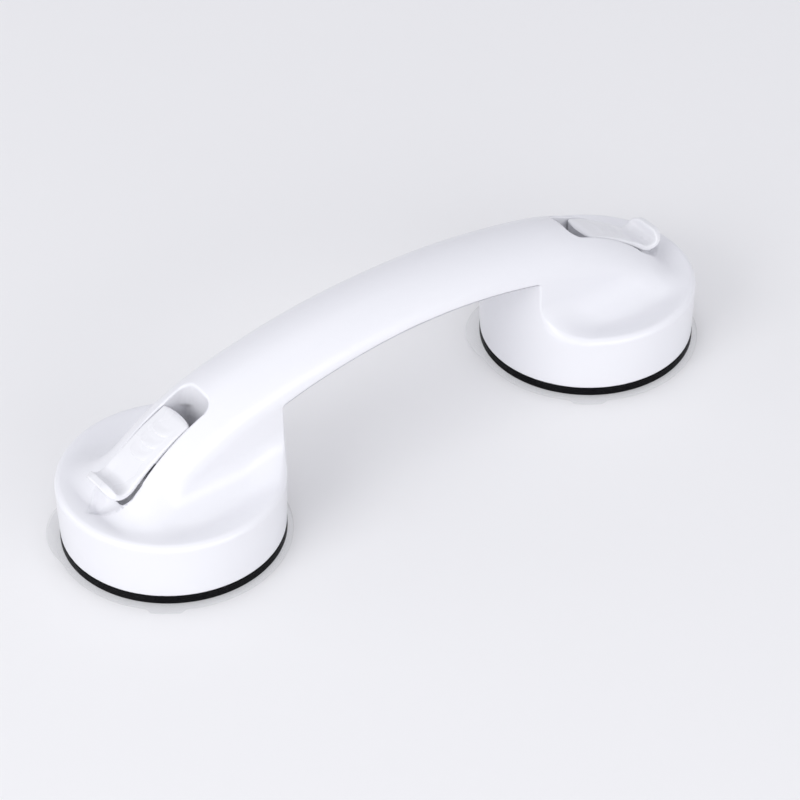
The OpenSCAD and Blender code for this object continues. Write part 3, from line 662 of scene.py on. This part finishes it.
def build_disc(side, name):
    """A clear soft disc, domed where the stud pulls it, with a boss round the stud's flange."""
    flange_low = stud_low[2] - FLANGE_GAP
    flange_out = FLANGE_R + FLANGE_GAP
    radii = [DOME_R * i / DOME_STEPS for i in range(1, DOME_STEPS + 1)]
    under = [(CENTRE_R, DOME_Z)] + [(r, dome(r)) for r in radii]
    rim = [(-0.35, 0.0), (-0.06, 0.12), (0.0, 0.38),
           (0.0, DISC_T - 0.35), (-0.1, DISC_T - 0.1), (-0.4, DISC_T)]
    over = [(r, dome(r) + DISC_T) for r in reversed(radii) if r > BOSS_R]
    boss = [(BOSS_R, BOSS_FOOT), (BOSS_R - 0.8, BOSS_TOP - 0.2), (BOSS_R - BOSS_ROUND, BOSS_TOP),
            (FLANGE_R - LIP_IN + 0.2, BOSS_TOP), (FLANGE_R - LIP_IN, BOSS_TOP - LIP_T),
            (flange_out, BOSS_TOP - LIP_T), (flange_out, flange_low), (CENTRE_R, flange_low)]

    def section(angle):
        """Outline of the disc's section at an angle."""
        reach = disc_reach(angle)
        return under + [(reach + dr, z) for dr, z in rim] + over + boss

    piece = lathe(f"{name}_clear_disc", section, side * CUP_X, segments=240)
    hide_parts(f"{name}_suction_disc")
    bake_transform(piece)
    return piece


# ---- the return springs ----
WIRE_R = 0.7
COILS = 6
COIL_POINTS = 40
WIRE_POINTS = 12
CLOSED_PITCH = 2.1 * WIRE_R  # of the first and last coil, which lie nearly closed


def build_spring(side, name):
    """A round-wire compression spring that rises from its seat, its first and last coils nearly closed."""
    coil_r = (spring_high[0] - spring_low[0]) / 2 - WIRE_R
    low, high = spring_low[2] + WIRE_R, spring_high[2] - WIRE_R
    count = COILS * COIL_POINTS + 1
    points = []
    for i in range(count):
        turn = i / COIL_POINTS
        a = 2 * math.pi * turn
        middle = min(max(turn - 1, 0), COILS - 2) / (COILS - 2)
        ends = CLOSED_PITCH * (min(turn, 1) + max(turn - COILS + 1, 0))
        z = low + ends + middle * (high - low - 2 * CLOSED_PITCH)
        for j in range(WIRE_POINTS):
            b = 2 * math.pi * j / WIRE_POINTS
            r = coil_r + WIRE_R * math.cos(b)
            points.append((side * CUP_X + r * math.cos(a), r * math.sin(a), z + WIRE_R * math.sin(b)))
    first = list(range(WIRE_POINTS))
    last = [len(points) - 1 - j for j in range(WIRE_POINTS)]
    faces = ring_quads(count, WIRE_POINTS, closed=False) + [first, last]
    piece = new_mesh(f"{name}_coil_spring", points, faces)
    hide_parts(f"{name}_return_spring")
    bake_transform(piece)
    return piece


# ---- materials ----


class Shader:
    """A Principled material built from nodes, with helpers for the few patterns used here."""

    def __init__(self, name, color, roughness, **sockets):
        self.material = bpy.data.materials.new(name)
        self.material.use_nodes = True
        self.nodes = self.material.node_tree.nodes
        self.links = self.material.node_tree.links
        self.bsdf = self.nodes["Principled BSDF"]
        self.color = color
        self.roughness = roughness
        self.place = self.nodes.new("ShaderNodeTexCoord").outputs["Object"]
        for socket, value in sockets.items():
            self.bsdf.inputs[socket.replace("_", " ")].default_value = value

    def noise(self, scale, detail=3.0, rough=0.5, stretch=(1, 1, 1)):
        """A noise value that follows the piece; scale is in cycles per metre."""
        mapping = self.nodes.new("ShaderNodeMapping")
        mapping.inputs["Scale"].default_value = stretch
        self.links.new(self.place, mapping.inputs["Vector"])
        noise = self.nodes.new("ShaderNodeTexNoise")
        noise.inputs["Scale"].default_value = scale
        noise.inputs["Detail"].default_value = detail
        noise.inputs["Roughness"].default_value = rough
        self.links.new(mapping.outputs["Vector"], noise.inputs["Vector"])
        return noise.outputs["Fac"]

    def remap(self, value, old, new, curve="LINEAR"):
        """Maps a value from the range old to the range new, and clamps it there."""
        node = self.nodes.new("ShaderNodeMapRange")
        node.interpolation_type = curve
        node.inputs["From Min"].default_value, node.inputs["From Max"].default_value = old
        node.inputs["To Min"].default_value, node.inputs["To Max"].default_value = new
        self.links.new(value, node.inputs["Value"])
        return node.outputs["Result"]

    def soften(self, noise, low, high):
        """Spreads a noise smoothly over low to high, without flat patches at either end."""
        return self.remap(noise, (0.05, 0.95), (low, high), "SMOOTHSTEP")

    def vary_color(self, noise, other):
        """Lets the colour drift between the base colour and another."""
        mix = self.nodes.new("ShaderNodeMix")
        mix.data_type = "RGBA"
        mix.inputs["A"].default_value = (*self.color, 1)
        mix.inputs["B"].default_value = (*other, 1)
        self.links.new(self.soften(noise, 0, 1), mix.inputs["Factor"])
        self.links.new(mix.outputs["Result"], self.bsdf.inputs["Base Color"])

    def vary_roughness(self, noise, spread):
        """Lets the roughness drift by as much as spread to either side."""
        result = self.soften(noise, self.roughness - spread, self.roughness + spread)
        self.links.new(result, self.bsdf.inputs["Roughness"])

    def bump(self, noise, strength, depth):
        """Adds relief, depth in metres."""
        node = self.nodes.new("ShaderNodeBump")
        node.inputs["Strength"].default_value = strength
        node.inputs["Distance"].default_value = depth
        self.links.new(noise, node.inputs["Height"])
        self.links.new(node.outputs["Normal"], self.bsdf.inputs["Normal"])

    def paint_recess_shade(self, distance):
        """Paints shade into the base colour inside deep recesses, where walls within distance enclose the
        surface: an ambient occlusion value multiplied into the colour.
        """
        painted_shade = self.nodes.new("ShaderNodeAmbientOcclusion")
        painted_shade.samples = 8
        painted_shade.inputs["Distance"].default_value = distance
        tint = self.nodes.new("ShaderNodeMix")
        tint.data_type = "RGBA"
        tint.blend_type = "MULTIPLY"
        tint.inputs["Factor"].default_value = 1.0
        self.links.new(self.bsdf.inputs["Base Color"].links[0].from_socket, tint.inputs["A"])
        self.links.new(self.remap(painted_shade.outputs["AO"], (0.02, 0.07), (0.02, 1.0)), tint.inputs["B"])
        self.links.new(tint.outputs["Result"], self.bsdf.inputs["Base Color"])


SHELL_WHITE = (0.85, 0.85, 0.882)
SHELL_DRIFT = (0.846, 0.846, 0.879)
LEVER_WHITE = (0.85, 0.85, 0.875)
LEVER_DRIFT = (0.84, 0.84, 0.866)
SLOT_PAINTED_SHADE = 0.012           # walls this near, in metres, bring painted shade into the base colour at the bottom of the slots


def moulded_plastic(name, color, other, roughness=0.3, painted_shade=0):
    """Glossy moulded plastic: a faint drift in the colour and in the polish, and a trace of waviness; with
    a recess distance given, shade is also painted into the colour of deep recesses.
    """
    s = Shader(name, color, roughness, Specular_IOR_Level=0.5, Coat_Weight=0.3, Coat_Roughness=0.18)
    s.vary_color(s.noise(14, 3), other)
    s.vary_roughness(s.noise(30, 3), 0.03)
    s.bump(s.noise(26, 1), 0.05, 0.0002)
    # painted shade: ambient occlusion darkens the base colour in deep recesses
    if painted_shade:
        s.paint_recess_shade(painted_shade)
    return s.material


def inner_plastic():
    """Unpolished plastic of the hidden mouldings, with a spark-eroded grain."""
    s = Shader("base plastic", (0.80, 0.80, 0.82), 0.5, Specular_IOR_Level=0.4)
    s.vary_color(s.noise(40, 4), (0.77, 0.77, 0.79))
    s.vary_roughness(s.noise(300, 3), 0.06)
    s.bump(s.noise(2200, 3, 0.6), 0.25, 0.00006)
    return s.material


def black_rubber():
    """Smooth black rubber with a sheen and a trace of dust."""
    s = Shader("black rubber", (0.002, 0.002, 0.003), 0.3, Specular_IOR_Level=0.08)
    s.vary_color(s.noise(220, 5, 0.7), (0.005, 0.005, 0.006))
    s.vary_roughness(s.noise(400, 4), 0.08)
    s.bump(s.noise(1500, 3), 0.15, 0.00005)
    return s.material


def clear_vinyl():
    """Clear soft vinyl: a thin film that shows mostly at its edges and highlights."""
    s = Shader("clear vinyl", (0.93, 0.93, 0.94), 0.12, Specular_IOR_Level=0.6, IOR=1.45)
    s.vary_roughness(s.noise(120, 3), 0.05)
    s.bump(s.noise(60, 2), 0.10, 0.0003)
    rim = s.nodes.new("ShaderNodeLayerWeight")
    rim.inputs["Blend"].default_value = 0.35
    s.links.new(s.remap(rim.outputs["Facing"], (0, 1), (0.02, 0.17)), s.bsdf.inputs["Alpha"])
    return s.material


def zinc_steel():
    """Zinc-plated steel with fine turning marks."""
    s = Shader("zinc steel", (0.60, 0.60, 0.61), 0.32, Metallic=1.0)
    s.vary_color(s.noise(260, 4), (0.52, 0.53, 0.55))
    s.vary_roughness(s.noise(700, 4, 0.6, (1, 1, 6)), 0.1)
    s.bump(s.noise(1400, 3, 0.6, (1, 1, 8)), 0.2, 0.00004)
    return s.material


def natural_nylon():
    """Undyed nylon of the studs, slightly translucent."""
    s = Shader("natural nylon", (0.78, 0.76, 0.68), 0.42, Subsurface_Weight=0.1)
    s.vary_color(s.noise(90, 3), (0.72, 0.70, 0.61))
    s.vary_roughness(s.noise(300, 3), 0.05)
    s.bump(s.noise(1200, 3), 0.15, 0.00005)
    return s.material


def paint(thing, material):
    """Gives an object one material."""
    thing.data.materials.clear()
    thing.data.materials.append(material)


# ---- the stage: floor, lights and camera, in metres and degrees ----
VIEW_AZ = 36.83
VIEW_EL = 38.59
VIEW_ROLL = -0.57
VIEW_DISTANCE = 1.3893
VIEW_TARGET = Vector((0.0140, 0.0098, 0.0012))
VIEW_LENS = 155.4

AIM = (0, 0, 0.03)           # the lamps' common target
SKY = (0.93, 0.94, 1.0)
SKY_STRENGTH = 0.71
FLOOR_COLOR = (0.75, 0.747, 0.755)
FLOOR_SHOWN = 0.18           # how much lighter the floor is to the camera and in reflections


def math_node(tree, operation, first, second):
    """Output of a math node; second is a socket or a number."""
    node = tree.nodes.new("ShaderNodeMath")
    node.operation = operation
    tree.links.new(first, node.inputs[0])
    if isinstance(second, float):
        node.inputs[1].default_value = second
    else:
        tree.links.new(second, node.inputs[1])
    return node.outputs[0]


def stage_material():
    """A matte surface; to the camera and in reflections it is a little lighter than it is lit."""
    material = bpy.data.materials.new("floor")
    material.use_nodes = True
    tree = material.node_tree
    bsdf = tree.nodes["Principled BSDF"]
    bsdf.inputs["Base Color"].default_value = (*FLOOR_COLOR, 1)
    bsdf.inputs["Roughness"].default_value = 0.9
    bsdf.inputs["Specular IOR Level"].default_value = 0.1
    bsdf.inputs["Emission Color"].default_value = (*FLOOR_COLOR, 1)
    path = tree.nodes.new("ShaderNodeLightPath").outputs
    seen = math_node(tree, "MAXIMUM", path["Is Camera Ray"], path["Is Glossy Ray"])
    seen = math_node(tree, "MAXIMUM", seen, path["Is Transmission Ray"])
    tree.links.new(math_node(tree, "MULTIPLY", seen, FLOOR_SHOWN), bsdf.inputs["Emission Strength"])
    return material


def build_floor():
    """A wide pale floor that curves up far behind the object."""
    radius, back, width = 0.9, 1.6, 5.0
    front, top, steps = -3.0, 3.5, 24
    bend = [(back + radius * math.sin(a), radius * (1 - math.cos(a)))
            for a in (math.pi / 2 * i / steps for i in range(steps + 1))]
    profile = [(front, 0.0)] + bend + [(back + radius, top)]
    points = [(side * width, d, h) for d, h in profile for side in (-1, 1)]
    faces = [(2 * i, 2 * i + 1, 2 * i + 3, 2 * i + 2) for i in range(len(profile) - 1)]
    mesh = bpy.data.meshes.new("floor")
    mesh.from_pydata(points, [], faces)
    mesh.polygons.foreach_set("use_smooth", np.ones(len(faces), bool))
    floor = bpy.data.objects.new("floor", mesh)
    floor.rotation_euler = (0, 0, math.radians(-VIEW_AZ))
    bpy.context.scene.collection.objects.link(floor)
    paint(floor, stage_material())


def area_light(name, place, target, size, power):
    """A white rectangular lamp aimed at a target."""
    light = bpy.data.lights.new(name, "AREA")
    light.shape = "RECTANGLE"
    light.size, light.size_y = size
    light.energy = power
    lamp = bpy.data.objects.new(name, light)
    lamp.location = place
    aim = Vector(target) - Vector(place)
    lamp.rotation_euler = aim.to_track_quat("-Z", "Y").to_euler()
    bpy.context.scene.collection.objects.link(lamp)


def build_lights():
    """Four soft lamps and a pale sky."""
    area_light("key", (-1.65, -0.35, 0.95), AIM, (1.1, 1.0), 12.5)
    area_light("front", (-0.1, -1.75, 0.55), AIM, (2.2, 0.8), 11)
    area_light("top", (0.2, 0.4, 1.8), AIM, (1.2, 1.2), 2)
    area_light("side", (-1.2, 1.1, 0.5), (0.05, 0, 0.03), (0.8, 0.6), 2)
    world = bpy.data.worlds.new("studio")
    world.use_nodes = True
    background = world.node_tree.nodes["Background"]
    background.inputs["Color"].default_value = (*SKY, 1)
    background.inputs["Strength"].default_value = SKY_STRENGTH
    bpy.context.scene.world = world


def build_camera():
    """The camera, placed and turned about its target as the photograph's was."""
    az, el, roll = (math.radians(a) for a in (-VIEW_AZ, VIEW_EL, VIEW_ROLL))
    back = Vector((math.sin(az) * math.cos(el), -math.cos(az) * math.cos(el), math.sin(el)))
    right = Vector((0, 0, 1)).cross(back).normalized()
    up = back.cross(right)
    level_right = math.cos(roll) * right + math.sin(roll) * up
    level_up = -math.sin(roll) * right + math.cos(roll) * up
    turn = Matrix((level_right, level_up, back)).transposed().to_4x4()
    camera = bpy.data.cameras.new("camera")
    camera.lens = VIEW_LENS
    camera.clip_end = 50
    holder = bpy.data.objects.new("camera", camera)
    holder.matrix_world = Matrix.Translation(VIEW_TARGET + back * VIEW_DISTANCE) @ turn
    bpy.context.scene.collection.objects.link(holder)
    bpy.context.scene.camera = holder


# ---- put together ----
build_camera()
build_floor()
build_lights()
bpy.context.scene.view_settings.view_transform = "Standard"

# the shell's colour carries painted shade at the bottom of its slots
shell_white_painted_shade = moulded_plastic("shell plastic", SHELL_WHITE, SHELL_DRIFT, painted_shade=SLOT_PAINTED_SHADE)
cover_white = moulded_plastic("cover plastic", SHELL_WHITE, SHELL_DRIFT, 0.34)
lever_white = moulded_plastic("lever plastic", LEVER_WHITE, LEVER_DRIFT, 0.28)
base_white = inner_plastic()
rubber = black_rubber()
vinyl = clear_vinyl()
steel = zinc_steel()
nylon = natural_nylon()

paint(build_handle(), shell_white_painted_shade)
for lever in build_levers():
    paint(lever, lever_white)
for cup_side, cup_name in CUPS:
    paint(build_gasket(cup_side, cup_name), rubber)
    paint(build_disc(cup_side, cup_name), vinyl)
    paint(build_spring(cup_side, cup_name), steel)

# CAD nodes that keep their shapes
paint(nodes["grip_cover"], cover_white)
paint(nodes["grip_cover_screws"], steel)
for _, cup_name in CUPS:
    for part_name in ("lever_pin", "wear_plate", "base_screws"):
        paint(nodes[f"{cup_name}_{part_name}"], steel)
    paint(nodes[f"{cup_name}_pull_stud"], nylon)
    paint(nodes[f"{cup_name}_base_plate"], base_white)
